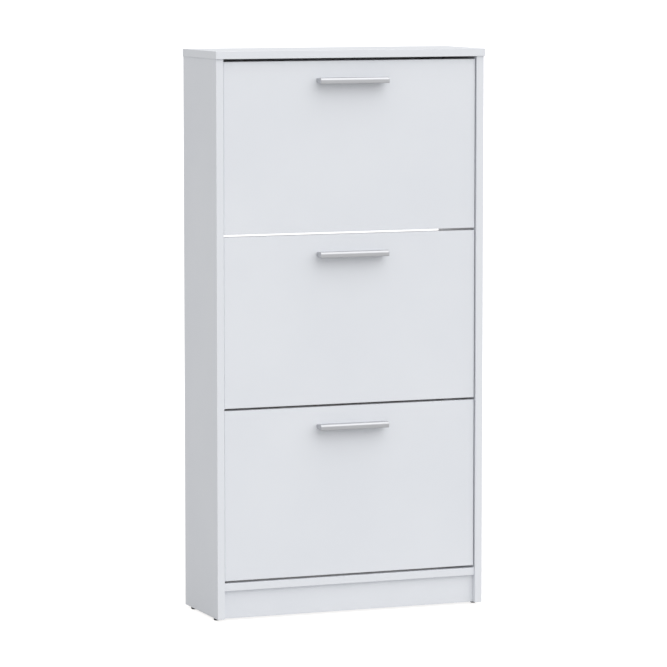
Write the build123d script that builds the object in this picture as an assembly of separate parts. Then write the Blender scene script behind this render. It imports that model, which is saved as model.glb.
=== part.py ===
from build123d import *

import os
from dataclasses import dataclass
from math import atan2, cos, degrees, hypot, radians, sin, sqrt

# A slim shoe cabinet with three tilting flaps, in millimetres.
# X runs to the right, Y to the back and Z up. The origin is on the floor, at the middle of the whole
# object's width and depth. Every board is a melamine-faced panel, joined by cam fittings and dowels.
# Each flap turns about two fixed pins near its lower edge and carries a shoe pocket between two brackets.

# Overall sizes
WIDTH = 600.0  # over the side panels
DEPTH = 205.0  # of a side panel
HEIGHT = 1188.0  # floor to top face
TIERS = ("lower", "middle", "upper")
SIDES = {"left": -1, "right": 1}

# Boards
BOARD = 16.0
BOARD_EDGE_RADIUS = 0.6
TOP_FRONT_OVERHANG = 4.0
TOP_SIDE_OVERHANG = 1.5
SHELF_RECESS = 3.5
PLINTH_HEIGHT = 59.0
PLINTH_RECESS = 11.0
RAIL_HEIGHT = 80.0

# Flap fronts
FLAP_RECESS = 5.0
FLAP_GAP = 5.0
FLAP_TOP_GAP = 6.0
FLAP_SIDE_GAP = 2.0
TILT = 40.0  # degrees from shut to the stop

# Glides under the side panels
GLIDE_HEIGHT = 5.0
GLIDE_RADIUS = 7.0
GLIDE_FOOT_RADIUS = 4.5
GLIDE_SKIRT = 2.0
GLIDE_NAIL_RADIUS = 1.2
GLIDE_NAIL_LENGTH = 14.0
GLIDE_FRONT_INSET = 28.0
GLIDE_REAR_INSET = 35.0

# Handles
HANDLE_LENGTH = 154.0
HANDLE_PROJECTION = 26.0
HANDLE_HEIGHT = 13.6  # at the front
HANDLE_FOOT_HEIGHT = 9.0  # where it meets the flap
HANDLE_BROW_RADIUS = 6.5  # between the top and the front
HANDLE_CHIN_RADIUS = 1.5  # between the front and the underside
HANDLE_END_RADIUS = 1.2
HANDLE_LIP = 3.5
HANDLE_WALL = 3.0
HANDLE_RECESS_RADIUS = 2.0
HANDLE_BOSS_RADIUS = 4.0
HANDLE_DROP = 40.5  # from the flap's top edge to the handle's middle
HANDLE_SCREW_SPACING = 128.0
HANDLE_SCREW_RADIUS = 2.0
HANDLE_SCREW_REACH = 12.0
HANDLE_SCREW_HEAD_RADIUS = 4.0
HANDLE_SCREW_HEAD = 2.6

# Pivots
PIN_RADIUS = 4.0
PIN_RUNNING_CLEARANCE = 0.06
PIN_LENGTH = 10.0  # from the side panel's inner face to the tip
PIN_SPIGOT = 10.0
PIN_FLANGE_LENGTH = 38.0
PIN_FLANGE_WIDTH = 16.0
PIN_SCREW_OFFSET = 12.0
PIN_SCREW_LENGTH = 13.0
PIN_TIP_CHAMFER = 0.6
RUNNING_GAP = 0.5  # between faces that pass each other
PIVOT_UP = 100.0  # above the flap's lower edge
BOSS_RADIUS = 8.0
BOSS_TO_FLAP = 2.0

# Stop pins and the arc slots they run in
STOP_RADIUS = 3.0
STOP_CLEARANCE = 0.25
STOP_COLLAR_RADIUS = 5.0
STOP_ANGLE = 20.0  # of the pin above the pivot, seen from the pivot towards the back
SLOT_FROM_RAIL = 48.0

# Brackets, with the floor and rear boards that they hold
BRACKET_PLATE = 4.0
BRACKET_TO_SIDE = 7.0
BRACKET_RIB = 3.0
BRACKET_RIB_RISE = 3.0
BRACKET_FLANGE = 3.0
BRACKET_FLANGE_WIDTH = 22.0
BRACKET_CORNER = 4.0
BRACKET_SCREW_INSET = 13.0
BRACKET_SCREW_LENGTH = 15.0
BRACKET_SCREWS = 3
CHANNEL_WALL = 2.0
CHANNEL_DEPTH = 8.0
CHANNEL_CLEARANCE = 0.15
POCKET_BOARD = 3.5
POCKET_FLOOR_DROP = 76.0
POCKET_FLOOR_RISE = 14.0
POCKET_FLOOR_FROM_RAIL = 38.0
POCKET_REAR_DROP = 50.0
POCKET_REAR_FOOT_FROM_RAIL = 30.0
POCKET_REAR_TOP_FROM_RAIL = 9.0
SWEEP_TO_RAIL = 3.0
SWEEP_TO_NEXT_FLAP = 15.0
POCKET_MOUTH_DIP = 52.0

# Wood screws of the brackets and pivots
SCREW_RADIUS = 1.75
SCREW_HEAD_RADIUS = 3.3
SCREW_TIP = 3.0
RECESS_WIDTH = 0.8
RECESS_DEPTH = 1.0
FIT = 0.05  # radial room of what is pushed or screwed into a board

# Cam fittings and dowels
CAM_RADIUS = 7.5
CAM_DEPTH = 12.5
CAM_EDGE = 24.0  # from the cam's middle to the joint
CAM_INSET = 40.0  # from a board's front or back edge
CAM_BOLT_RADIUS = 3.5
CAM_BOLT_NECK_RADIUS = 1.8
CAM_BOLT_HEAD_RADIUS = 3.0
CAM_BOLT_HEAD = 4.0
CAM_BOLT_NECK = 8.0
CAM_BOLT_THREAD_RADIUS = 2.5
CAM_BOLT_THREAD = 11.0
CAM_CAP_RADIUS = 8.5
CAM_CAP = 0.9
DOWEL_RADIUS = 4.0
DOWEL_IN_EDGE = 19.0
DOWEL_IN_FACE = 11.0
DOWEL_SPACING = 32.0
DOWEL_RAIL_INSET = 16.0  # from a rail's upper and lower edges
DOWEL_CHAMFER = 0.8
HOLE_END_ROOM = 0.5

# Fixing to a wall, through the top rear rail
WALL_HOLE_RADIUS = 3.0
WALL_HOLE_SPACING = 400.0

# Places worked out from the sizes above
INNER = WIDTH / 2 - BOARD
FRONT = (HANDLE_PROJECTION - FLAP_RECESS - DEPTH) / 2
BACK = FRONT + DEPTH
TOP_UNDERSIDE = HEIGHT - BOARD
SHELF_UNDERSIDE = GLIDE_HEIGHT + PLINTH_HEIGHT
SHELF_TOP = SHELF_UNDERSIDE + BOARD
FLAP_STACK = TOP_UNDERSIDE - FLAP_TOP_GAP - SHELF_TOP
FLAP_HEIGHT = FLAP_STACK / len(TIERS) - FLAP_GAP
FLAP_HALF_WIDTH = INNER - FLAP_SIDE_GAP
PIN_FLANGE = FLAP_SIDE_GAP - RUNNING_GAP
PIVOT_BACK = BOARD + BOSS_RADIUS + BOSS_TO_FLAP
PIVOT_Y = FRONT + FLAP_RECESS + PIVOT_BACK
RAIL_FRONT = BACK - BOARD
PLINTH_BACK = FRONT + PLINTH_RECESS + BOARD
GLIDE_Y = {"front": FRONT + GLIDE_FRONT_INSET, "rear": BACK - GLIDE_REAR_INSET}
CAM_Y = (FRONT + CAM_INSET, BACK - CAM_INSET)
DOWEL_Y = (FRONT + CAM_INSET + DOWEL_SPACING, BACK - CAM_INSET - DOWEL_SPACING)

# Places in a flap's own frame, with the pivot axis at Y = Z = 0
FLAP_FACE = -PIVOT_BACK
FLAP_BACK = FLAP_FACE + BOARD
FLAP_FOOT = -PIVOT_UP
FLAP_HEAD = FLAP_FOOT + FLAP_HEIGHT
RAIL_FACE = RAIL_FRONT - PIVOT_Y
SLOT_RADIUS = RAIL_FACE - SLOT_FROM_RAIL
SWEEP_REACH = RAIL_FACE - SWEEP_TO_RAIL
SWEEP_RADIUS = FLAP_HEAD + FLAP_GAP - SWEEP_TO_NEXT_FLAP
BRACKET_TOP = sqrt(SWEEP_RADIUS**2 - SWEEP_REACH**2)
BRACKET_OUT = INNER - BRACKET_TO_SIDE
BRACKET_IN = BRACKET_OUT - BRACKET_PLATE
FLANGE_FACE = FLAP_BACK + BRACKET_FLANGE
FLOOR_FRONT = (FLANGE_FACE + RUNNING_GAP, -POCKET_FLOOR_DROP)
FLOOR_REAR = (RAIL_FACE - POCKET_FLOOR_FROM_RAIL, POCKET_FLOOR_RISE - POCKET_FLOOR_DROP)
REAR_FOOT = (RAIL_FACE - POCKET_REAR_FOOT_FROM_RAIL, -POCKET_REAR_DROP)
REAR_HEAD = (RAIL_FACE - POCKET_REAR_TOP_FROM_RAIL, BRACKET_TOP - CHANNEL_WALL)
HANDLE_Z = FLAP_HEAD - HANDLE_DROP
HANDLE_SCREWS_X = (-HANDLE_SCREW_SPACING / 2, HANDLE_SCREW_SPACING / 2)

UPWARDS = (0, 0, 1)
DOWNWARDS = (0, 0, -1)
FORWARDS = (0, -1, 0)
BACKWARDS = (0, 1, 0)
FROM_BASE = (Align.CENTER, Align.CENTER, Align.MIN)


def block(x, y, z):
    """A rectangular solid between three pairs of coordinates."""
    spans = (x, y, z)
    centre = [(low + high) / 2 for low, high in spans]
    return Pos(*centre) * Box(*[high - low for low, high in spans])


def board(x, y, z):
    """A banded board between three pairs of coordinates, with slightly rounded edges."""
    panel = block(x, y, z)
    return fillet(panel.edges(), BOARD_EDGE_RADIUS)


def rod(start, direction, length, radius):
    """A round bar from a point along a direction."""
    return Plane(origin=start, z_dir=direction) * Cylinder(radius, length, align=FROM_BASE)


def bar_along_x(start, length, radius, height=0.0):
    """A round bar along the local X axis, at a height on the local Z axis."""
    return Pos(start, 0, height) * Rot(0, 90, 0) * Cylinder(radius, length, align=FROM_BASE)


def cross_recess(radius, depth):
    """The cutter for a cross recess that goes down from the local origin."""
    arm = Pos(0, 0, -depth) * Box(2 * radius, RECESS_WIDTH, 2 * depth, align=FROM_BASE)
    return arm + Rot(0, 0, 90) * arm


@dataclass(frozen=True)
class CamJoint:
    """A cam housing in one board, and its bolt that stands in the next board.

    The local frame has its origin at the housing's middle on the board's face, Z out of the face and X
    towards the joint.
    """

    housing_board: str
    bolt_board: str
    face: tuple
    out: tuple
    along: tuple

    def place(self, piece):
        return Plane(origin=self.face, x_dir=self.along, z_dir=self.out) * piece

    def housing(self):
        """The die-cast housing, with the pocket that grips the bolt's head and a cross recess."""
        body = Cylinder(CAM_RADIUS - FIT, CAM_DEPTH, align=FROM_BASE)
        body = Pos(0, 0, -CAM_DEPTH) * body
        pocket = bar_along_x(-CAM_BOLT_HEAD, CAM_RADIUS + CAM_BOLT_HEAD, CAM_BOLT_RADIUS + FIT, -BOARD / 2)
        return self.place(body - pocket - cross_recess(CAM_RADIUS / 2, RECESS_DEPTH))

    def housing_cut(self):
        pocket = Cylinder(CAM_RADIUS, CAM_DEPTH + HOLE_END_ROOM, align=FROM_BASE)
        pocket = Pos(0, 0, -CAM_DEPTH - HOLE_END_ROOM) * pocket
        return self.place(pocket + bar_along_x(0, CAM_EDGE, CAM_BOLT_RADIUS + FIT, -BOARD / 2))

    def bolt(self):
        """The bolt: a head and neck inside the housing, a plain shank, and a thread in the next board."""
        head = bar_along_x(-CAM_BOLT_HEAD / 2, CAM_BOLT_HEAD, CAM_BOLT_HEAD_RADIUS, -BOARD / 2)
        neck = bar_along_x(0, CAM_BOLT_NECK, CAM_BOLT_NECK_RADIUS, -BOARD / 2)
        shank = bar_along_x(CAM_BOLT_NECK, CAM_EDGE - CAM_BOLT_NECK, CAM_BOLT_RADIUS, -BOARD / 2)
        thread = bar_along_x(CAM_EDGE, CAM_BOLT_THREAD, CAM_BOLT_THREAD_RADIUS, -BOARD / 2)
        return self.place(head + neck + shank + thread)

    def bolt_cut(self):
        depth = CAM_BOLT_THREAD + HOLE_END_ROOM
        return self.place(bar_along_x(CAM_EDGE, depth, CAM_BOLT_THREAD_RADIUS + FIT, -BOARD / 2))

    def cap(self):
        """The plastic cap over the housing."""
        disc = Cylinder(CAM_CAP_RADIUS, CAM_CAP, align=FROM_BASE)
        return self.place(fillet(disc.edges().sort_by(Axis.Z)[-1:], CAM_CAP / 2))


@dataclass(frozen=True)
class DowelJoint:
    """A beech dowel between the edge of one board and the face of the next, from the joint's middle."""

    edge_board: str
    face_board: str
    middle: tuple
    along: tuple

    def place(self, piece):
        return Plane(origin=self.middle, z_dir=self.along) * piece

    def dowel(self):
        peg = Cylinder(DOWEL_RADIUS, DOWEL_IN_EDGE + DOWEL_IN_FACE, align=FROM_BASE)
        return self.place(Pos(0, 0, -DOWEL_IN_EDGE) * chamfer(peg.edges(), DOWEL_CHAMFER))

    def cut(self):
        length = DOWEL_IN_EDGE + DOWEL_IN_FACE + 2 * HOLE_END_ROOM
        hole = Cylinder(DOWEL_RADIUS + FIT, length, align=FROM_BASE)
        return self.place(Pos(0, 0, -DOWEL_IN_EDGE - HOLE_END_ROOM) * hole)


def rail_heights():
    """The middle height of each rear rail: one under the top, one behind the gap over the lower flap."""
    lower_gap = SHELF_TOP + FLAP_GAP + FLAP_HEIGHT
    below_next_pocket = lower_gap + FLAP_GAP + PIVOT_UP - POCKET_FLOOR_DROP - CAM_BOLT_RADIUS
    return {
        "rear_rail_top": TOP_UNDERSIDE - RAIL_HEIGHT / 2,
        "rear_rail_lower": below_next_pocket - RAIL_HEIGHT / 2 - SWEEP_TO_NEXT_FLAP,
    }


def cam_joints():
    """Every cam fitting of the carcass."""
    joints = []
    plinth_middle = GLIDE_HEIGHT + PLINTH_HEIGHT / 2 - CAM_RADIUS
    for name, side in SIDES.items():
        panel = f"side_panel_{name}"
        outwards, inwards = (side, 0, 0), (-side, 0, 0)
        housing_x = side * (INNER - CAM_EDGE)
        for y in CAM_Y:
            at_top = (side * INNER, y, TOP_UNDERSIDE - CAM_EDGE)
            joints.append(CamJoint(panel, "top_panel", at_top, inwards, UPWARDS))
            under_shelf = (housing_x, y, SHELF_UNDERSIDE)
            joints.append(CamJoint("bottom_shelf", panel, under_shelf, DOWNWARDS, outwards))
        behind_plinth = (housing_x, PLINTH_BACK, plinth_middle)
        joints.append(CamJoint("plinth_board", panel, behind_plinth, BACKWARDS, outwards))
        for rail, height in rail_heights().items():
            joints.append(CamJoint(rail, panel, (housing_x, BACK, height), BACKWARDS, outwards))
    return joints


def dowel_joints():
    """Every dowel of the carcass, beside the cam fittings."""
    joints = []
    for name, side in SIDES.items():
        panel = f"side_panel_{name}"
        outwards = (side, 0, 0)
        for y in DOWEL_Y:
            on_side = (side * (WIDTH - BOARD) / 2, y, TOP_UNDERSIDE)
            joints.append(DowelJoint(panel, "top_panel", on_side, UPWARDS))
            beside_shelf = (side * INNER, y, SHELF_UNDERSIDE + BOARD / 2)
            joints.append(DowelJoint("bottom_shelf", panel, beside_shelf, outwards))
        plinth_top = SHELF_UNDERSIDE - DOWEL_RADIUS - BOARD / 2
        beside_plinth = (side * INNER, PLINTH_BACK - BOARD / 2, plinth_top)
        joints.append(DowelJoint("plinth_board", panel, beside_plinth, outwards))
        reach = RAIL_HEIGHT / 2 - DOWEL_RAIL_INSET
        for rail, height in rail_heights().items():
            for z in (height - reach, height + reach):
                beside_rail = (side * INNER, RAIL_FRONT + BOARD / 2, z)
                joints.append(DowelJoint(rail, panel, beside_rail, outwards))
    return joints


def carcass_boards():
    """The boards of the fixed carcass, by name, before their holes."""
    boards = {}
    for name, side in SIDES.items():
        x = sorted((side * INNER, side * WIDTH / 2))
        boards[f"side_panel_{name}"] = board(x, (FRONT, BACK), (GLIDE_HEIGHT, TOP_UNDERSIDE))
    half_top = WIDTH / 2 + TOP_SIDE_OVERHANG
    inside = (-INNER, INNER)
    top_y = (FRONT - TOP_FRONT_OVERHANG, BACK)
    boards["top_panel"] = board((-half_top, half_top), top_y, (TOP_UNDERSIDE, HEIGHT))
    boards["bottom_shelf"] = board(inside, (FRONT + SHELF_RECESS, BACK), (SHELF_UNDERSIDE, SHELF_TOP))
    plinth_y = (PLINTH_BACK - BOARD, PLINTH_BACK)
    boards["plinth_board"] = board(inside, plinth_y, (GLIDE_HEIGHT, SHELF_UNDERSIDE))
    for rail, height in rail_heights().items():
        z = (height - RAIL_HEIGHT / 2, height + RAIL_HEIGHT / 2)
        boards[rail] = board(inside, (RAIL_FRONT, BACK), z)
    return boards


def glide(side, y):
    """A domed plastic glide under a side panel, with its nail."""
    halfway = cos(radians(45))
    foot = (GLIDE_FOOT_RADIUS, 0)
    shoulder = (GLIDE_RADIUS, GLIDE_HEIGHT - GLIDE_SKIRT)
    bulge = (foot[0] + halfway * (shoulder[0] - foot[0]), shoulder[1] * (1 - halfway))
    outline = [
        ThreePointArc(foot, bulge, shoulder),
        Polyline(shoulder, (GLIDE_RADIUS, GLIDE_HEIGHT), (0, GLIDE_HEIGHT), (0, 0), foot),
    ]
    dome = revolve(Plane.XZ * make_face(outline), Axis.Z)
    nail = rod((0, 0, GLIDE_HEIGHT / 2), UPWARDS, GLIDE_HEIGHT / 2 + GLIDE_NAIL_LENGTH, GLIDE_NAIL_RADIUS)
    return Pos(side * (WIDTH - BOARD) / 2, y, 0) * (dome + nail)


def glide_cut(side, y):
    """The nail's hole in the side panel's lower edge."""
    start = (side * (WIDTH - BOARD) / 2, y, 0)
    length = GLIDE_HEIGHT + GLIDE_NAIL_LENGTH + HOLE_END_ROOM
    return rod(start, UPWARDS, length, GLIDE_NAIL_RADIUS + FIT)


def side_face(side, y, z):
    """The plane on a side panel's inner face, with Z towards the middle and X upwards."""
    return Plane(origin=(side * INNER, y, z), x_dir=UPWARDS, z_dir=(-side, 0, 0))


def countersunk_screw(length):
    """A wood screw that goes down from the local origin, its head flush with it."""
    neck = Pos(0, 0, -PIN_FLANGE) * Cone(SCREW_RADIUS, SCREW_HEAD_RADIUS, PIN_FLANGE, align=FROM_BASE)
    shank = Pos(0, 0, SCREW_TIP - length) * Cylinder(SCREW_RADIUS, length - SCREW_TIP, align=FROM_BASE)
    tip = Pos(0, 0, -length) * Cone(FIT, SCREW_RADIUS, SCREW_TIP, align=FROM_BASE)
    return neck + shank + tip - cross_recess(SCREW_HEAD_RADIUS / 2, RECESS_DEPTH)


def countersink(length):
    """The cutter for a countersunk screw of a length, with room round it."""
    radius = SCREW_RADIUS + FIT
    head_radius = SCREW_HEAD_RADIUS + FIT
    mouth = Pos(0, 0, -PIN_FLANGE) * Cone(radius, head_radius, PIN_FLANGE, align=FROM_BASE)
    depth = length + HOLE_END_ROOM
    return mouth + Pos(0, 0, -depth) * Cylinder(radius, depth, align=FROM_BASE)


def pivot_pin():
    """A pivot on the local origin: flange on the side panel, spigot into it, pin towards the flap."""
    flange = extrude(SlotOverall(PIN_FLANGE_LENGTH, PIN_FLANGE_WIDTH), PIN_FLANGE)
    pin = Cylinder(PIN_RADIUS, PIN_LENGTH, align=FROM_BASE)
    pin = chamfer(pin.edges().sort_by(Axis.Z)[-1:], PIN_TIP_CHAMFER)
    spigot = Pos(0, 0, -PIN_SPIGOT) * Cylinder(PIN_RADIUS, PIN_SPIGOT, align=FROM_BASE)
    return flange + pin + spigot - pivot_screw_cuts()


def pivot_screw_places():
    return [Pos(offset, 0, PIN_FLANGE) for offset in (-PIN_SCREW_OFFSET, PIN_SCREW_OFFSET)]


def pivot_screw_cuts():
    cuts = [place * countersink(PIN_SCREW_LENGTH) for place in pivot_screw_places()]
    return Part() + cuts


def stop_place():
    """The stop pin's centre in the flap's frame, at the top of its slot while the flap is shut."""
    angle = radians(STOP_ANGLE)
    return SLOT_RADIUS * cos(angle), SLOT_RADIUS * sin(angle)


def stop_pin():
    """A stop pin on the local origin, with a collar against the side panel."""
    shank = Pos(0, 0, -PIN_SPIGOT) * Cylinder(STOP_RADIUS, PIN_SPIGOT + PIN_LENGTH, align=FROM_BASE)
    shank = chamfer(shank.edges().sort_by(Axis.Z)[-1:], PIN_TIP_CHAMFER)
    return shank + Cylinder(STOP_COLLAR_RADIUS, PIN_FLANGE, align=FROM_BASE)


def spigot_cut(radius):
    depth = PIN_SPIGOT + HOLE_END_ROOM
    return Pos(0, 0, -depth) * Cylinder(radius + FIT, depth, align=FROM_BASE)


def handle():
    """A moulded grip in the flap's frame: closed top, front and ends, and a finger recess from below."""
    front = FLAP_FACE - HANDLE_PROJECTION
    lip, foot = HANDLE_HEIGHT / 2, HANDLE_FOOT_HEIGHT / 2
    corners = ((front, lip), (FLAP_FACE, foot), (FLAP_FACE, -foot), (front, -lip))
    outline = make_face(Polyline(*corners, close=True))
    brow = outline.vertices().group_by(Axis.X)[0].sort_by(Axis.Y)[-1]
    outline = fillet(brow, HANDLE_BROW_RADIUS)
    chin = outline.vertices().group_by(Axis.X)[0].sort_by(Axis.Y)[0]
    outline = fillet(chin, HANDLE_CHIN_RADIUS)
    grip = extrude(Plane.YZ * outline, HANDLE_LENGTH / 2, both=True)
    ends = grip.edges().group_by(Axis.X)
    free = [edge for edge in ends[0] + ends[-1] if edge.center().Y < FLAP_FACE - FIT]
    grip = fillet(free, HANDLE_END_RADIUS)
    inside = HANDLE_LENGTH / 2 - HANDLE_WALL
    recess_y = (front + HANDLE_LIP, FLAP_FACE - HANDLE_WALL)
    recess = block((-inside, inside), recess_y, (-HANDLE_HEIGHT, foot - HANDLE_WALL))
    grip -= fillet(recess.edges().filter_by(Axis.Z), HANDLE_RECESS_RADIUS)
    for x in HANDLE_SCREWS_X:
        grip += rod((x, FLAP_FACE, 0), FORWARDS, HANDLE_PROJECTION - HANDLE_LIP * 0.75, HANDLE_BOSS_RADIUS)
    depth = HANDLE_SCREW_REACH + HOLE_END_ROOM
    for x in HANDLE_SCREWS_X:
        grip -= rod((x, FLAP_FACE, 0), FORWARDS, depth, HANDLE_SCREW_RADIUS + FIT)
    return Pos(0, 0, HANDLE_Z) * grip


def handle_screws():
    """Two machine screws from the flap's back into the handle's bosses."""
    screws = []
    for x in HANDLE_SCREWS_X:
        head = Cylinder(HANDLE_SCREW_HEAD_RADIUS, HANDLE_SCREW_HEAD, align=FROM_BASE)
        head = fillet(head.edges().sort_by(Axis.Z)[-1:], HANDLE_SCREW_HEAD / 2)
        head -= Pos(0, 0, HANDLE_SCREW_HEAD) * cross_recess(HANDLE_SCREW_HEAD_RADIUS / 2, RECESS_DEPTH)
        shank = Cylinder(HANDLE_SCREW_RADIUS, BOARD + HANDLE_SCREW_REACH, align=FROM_BASE)
        screw = head + Pos(0, 0, -BOARD - HANDLE_SCREW_REACH) * shank
        screws.append(Plane(origin=(x, FLAP_BACK, HANDLE_Z), z_dir=BACKWARDS) * screw)
    return screws


def bracket_outline():
    """A bracket's outline on the plane across the flap: flap side, floor, rear and dipped mouth."""
    foot_z = FLOOR_FRONT[1] - 2 * CHANNEL_WALL - POCKET_BOARD
    heel = (FLOOR_REAR[0] + CHANNEL_WALL, FLOOR_REAR[1] - 2 * CHANNEL_WALL - POCKET_BOARD)
    rear = (REAR_FOOT[0] + 2 * CHANNEL_WALL + POCKET_BOARD, REAR_FOOT[1] - CHANNEL_WALL)
    rear_head = (SWEEP_REACH, BRACKET_TOP)
    mouth_rear = (REAR_HEAD[0] - 2 * CHANNEL_WALL - POCKET_BOARD, BRACKET_TOP)
    mouth_front = (FLANGE_FACE + 2 * BRACKET_CORNER, BRACKET_TOP)
    dip = ((mouth_rear[0] + mouth_front[0]) / 2, BRACKET_TOP - POCKET_MOUTH_DIP)
    flap_side = ((FLAP_BACK, BRACKET_TOP), (FLAP_BACK, foot_z))
    rim = Polyline(mouth_front, *flap_side, heel, rear, rear_head, mouth_rear)
    face = make_face([rim, ThreePointArc(mouth_rear, dip, mouth_front)])
    return fillet(face.vertices(), BRACKET_CORNER)


def strip(start, end, thickness, margin=0.0):
    """A rectangle along the line between two points, widened by a margin all round."""
    run = (end[0] - start[0], end[1] - start[1])
    middle = ((start[0] + end[0]) / 2, (start[1] + end[1]) / 2)
    turn = Rot(0, 0, degrees(atan2(run[1], run[0])))
    return Pos(*middle) * turn * Rectangle(hypot(*run) + 2 * margin, thickness + 2 * margin)


def slot(extra=0.0):
    """The arc slot that the stop pin runs in, widened all round by an extra width."""
    path = CenterArc((0, 0), SLOT_RADIUS, STOP_ANGLE - TILT, TILT)
    return SlotArc(path, 2 * (STOP_RADIUS + STOP_CLEARANCE + extra))


def bracket_screw_heights():
    low = FLOOR_FRONT[1] + BOARD
    high = BRACKET_TOP - BOARD
    return [low + (high - low) * step / (BRACKET_SCREWS - 1) for step in range(BRACKET_SCREWS)]


def bracket_screw_planes():
    x = BRACKET_OUT - BRACKET_SCREW_INSET
    return [Plane(origin=(x, FLANGE_FACE, z), z_dir=BACKWARDS) for z in bracket_screw_heights()]


def bracket():
    """The right bracket in the flap's frame: ribbed plate, pivot boss, flap flange and board channels."""
    outline = bracket_outline()
    plane = Plane.YZ.offset(BRACKET_IN)
    plate = extrude(plane * outline, BRACKET_PLATE)
    raised = outline - offset(outline, -BRACKET_RIB)
    for end in (REAR_HEAD, FLOOR_REAR, (FLANGE_FACE, BRACKET_TOP)):
        raised += strip((0, 0), end, BRACKET_RIB) & outline
    raised += slot(BRACKET_RIB)
    ribs = extrude(plane * raised, BRACKET_PLATE + BRACKET_RIB_RISE)
    channels = Sketch()
    for start, end in ((FLOOR_FRONT, FLOOR_REAR), (REAR_FOOT, REAR_HEAD)):
        walls = strip(start, end, POCKET_BOARD, CHANNEL_CLEARANCE + CHANNEL_WALL)
        channels += (walls - strip(start, end, POCKET_BOARD, CHANNEL_CLEARANCE)) & outline
    grooves = extrude(plane * channels, -CHANNEL_DEPTH)
    boss = extrude(plane * Circle(BOSS_RADIUS), FLAP_HALF_WIDTH - BRACKET_IN)
    foot_z = outline.bounding_box().min.Y
    flange = block(
        (BRACKET_OUT - BRACKET_FLANGE_WIDTH, BRACKET_OUT), (FLAP_BACK, FLANGE_FACE), (foot_z, BRACKET_TOP)
    )
    flange = fillet(flange.edges().filter_by(Axis.Y).group_by(Axis.X)[0], BRACKET_CORNER)
    flange -= [plane * countersink(BRACKET_SCREW_LENGTH) for plane in bracket_screw_planes()]
    bore = rod((0, 0, 0), (1, 0, 0), WIDTH, PIN_RADIUS + PIN_RUNNING_CLEARANCE)
    slot_cut = extrude(Plane.YZ * slot(), WIDTH)
    return plate + ribs + grooves + boss + flange - bore - slot_cut


def bracket_screws():
    """The right bracket's screws into the flap."""
    return [plane * countersunk_screw(BRACKET_SCREW_LENGTH) for plane in bracket_screw_planes()]


def pocket_board(start, end):
    """A thin board between the two brackets' channels."""
    half = BRACKET_IN - CHANNEL_CLEARANCE
    return extrude(Plane.YZ * strip(start, end, POCKET_BOARD), half, both=True)


def flap_panel():
    """The front of a flap, drilled for its handle and its brackets."""
    across = (-FLAP_HALF_WIDTH, FLAP_HALF_WIDTH)
    panel = board(across, (FLAP_FACE, FLAP_BACK), (FLAP_FOOT, FLAP_HEAD))
    through = BOARD + 2 * HOLE_END_ROOM
    for x in HANDLE_SCREWS_X:
        start = (x, FLAP_FACE - HOLE_END_ROOM, HANDLE_Z)
        panel -= rod(start, BACKWARDS, through, HANDLE_SCREW_RADIUS + FIT)
    right = [plane * countersink(BRACKET_SCREW_LENGTH) for plane in bracket_screw_planes()]
    return panel - right - [mirror(cut, Plane.YZ) for cut in right]


def flap_pieces():
    """Every piece that tilts with one flap, in the flap's frame."""
    right = bracket()
    right_screws = bracket_screws()
    return {
        "flap_panel": [flap_panel()],
        "handle": [handle()],
        "handle_screws": handle_screws(),
        "bracket_right": [right],
        "bracket_left": [mirror(right, Plane.YZ)],
        "bracket_screws": right_screws + [mirror(screw, Plane.YZ) for screw in right_screws],
        "floor_board": [pocket_board(FLOOR_FRONT, FLOOR_REAR)],
        "rear_board": [pocket_board(REAR_FOOT, REAR_HEAD)],
    }


def pivot_height(tier):
    return SHELF_TOP + FLAP_GAP + PIVOT_UP + TIERS.index(tier) * (FLAP_HEIGHT + FLAP_GAP)


def cabinet():
    """All nodes of the cabinet: a name and a list of solids each."""
    nodes = {}
    boards = carcass_boards()
    cams = cam_joints()
    dowels = dowel_joints()
    cuts = {name: [] for name in boards}
    for joint in cams:
        cuts[joint.housing_board].append(joint.housing_cut())
        cuts[joint.bolt_board].append(joint.bolt_cut())
    for joint in dowels:
        cuts[joint.edge_board].append(joint.cut())
        cuts[joint.face_board].append(joint.cut())
    wall_hole_z = rail_heights()["rear_rail_top"]
    through = BOARD + 2 * HOLE_END_ROOM
    for x in (-WALL_HOLE_SPACING / 2, WALL_HOLE_SPACING / 2):
        start = (x, RAIL_FRONT - HOLE_END_ROOM, wall_hole_z)
        cuts["rear_rail_top"].append(rod(start, BACKWARDS, through, WALL_HOLE_RADIUS))

    nodes["pivot_screws"] = []
    nodes["stop_pins"] = []
    stop_y, stop_z = stop_place()
    for name, side in SIDES.items():
        panel = f"side_panel_{name}"
        for place, y in GLIDE_Y.items():
            nodes[f"glide_{place}_{name}"] = [glide(side, y)]
            cuts[panel].append(glide_cut(side, y))
        for tier in TIERS:
            pivot = side_face(side, PIVOT_Y, pivot_height(tier))
            stop = side_face(side, PIVOT_Y + stop_y, pivot_height(tier) + stop_z)
            nodes[f"pivot_pin_{tier}_{name}"] = [pivot * pivot_pin()]
            nodes["stop_pins"].append(stop * stop_pin())
            for screw_place in pivot_screw_places():
                nodes["pivot_screws"].append(pivot * screw_place * countersunk_screw(PIN_SCREW_LENGTH))
            cuts[panel] += [pivot * spigot_cut(PIN_RADIUS), pivot * pivot_screw_cuts()]
            cuts[panel].append(stop * spigot_cut(STOP_RADIUS))

    for name, solid in boards.items():
        nodes[name] = [solid - cuts[name]]
    nodes["cam_housings"] = [joint.housing() for joint in cams]
    nodes["cam_bolts"] = [joint.bolt() for joint in cams]
    nodes["cam_caps"] = [joint.cap() for joint in cams if joint.bolt_board == "top_panel"]
    nodes["dowels"] = [joint.dowel() for joint in dowels]

    for tier in TIERS:
        place = Pos(0, PIVOT_Y, pivot_height(tier))
        for name, solids in flap_pieces().items():
            nodes[f"{name}_{tier}"] = [place * solid for solid in solids]
    return nodes


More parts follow.
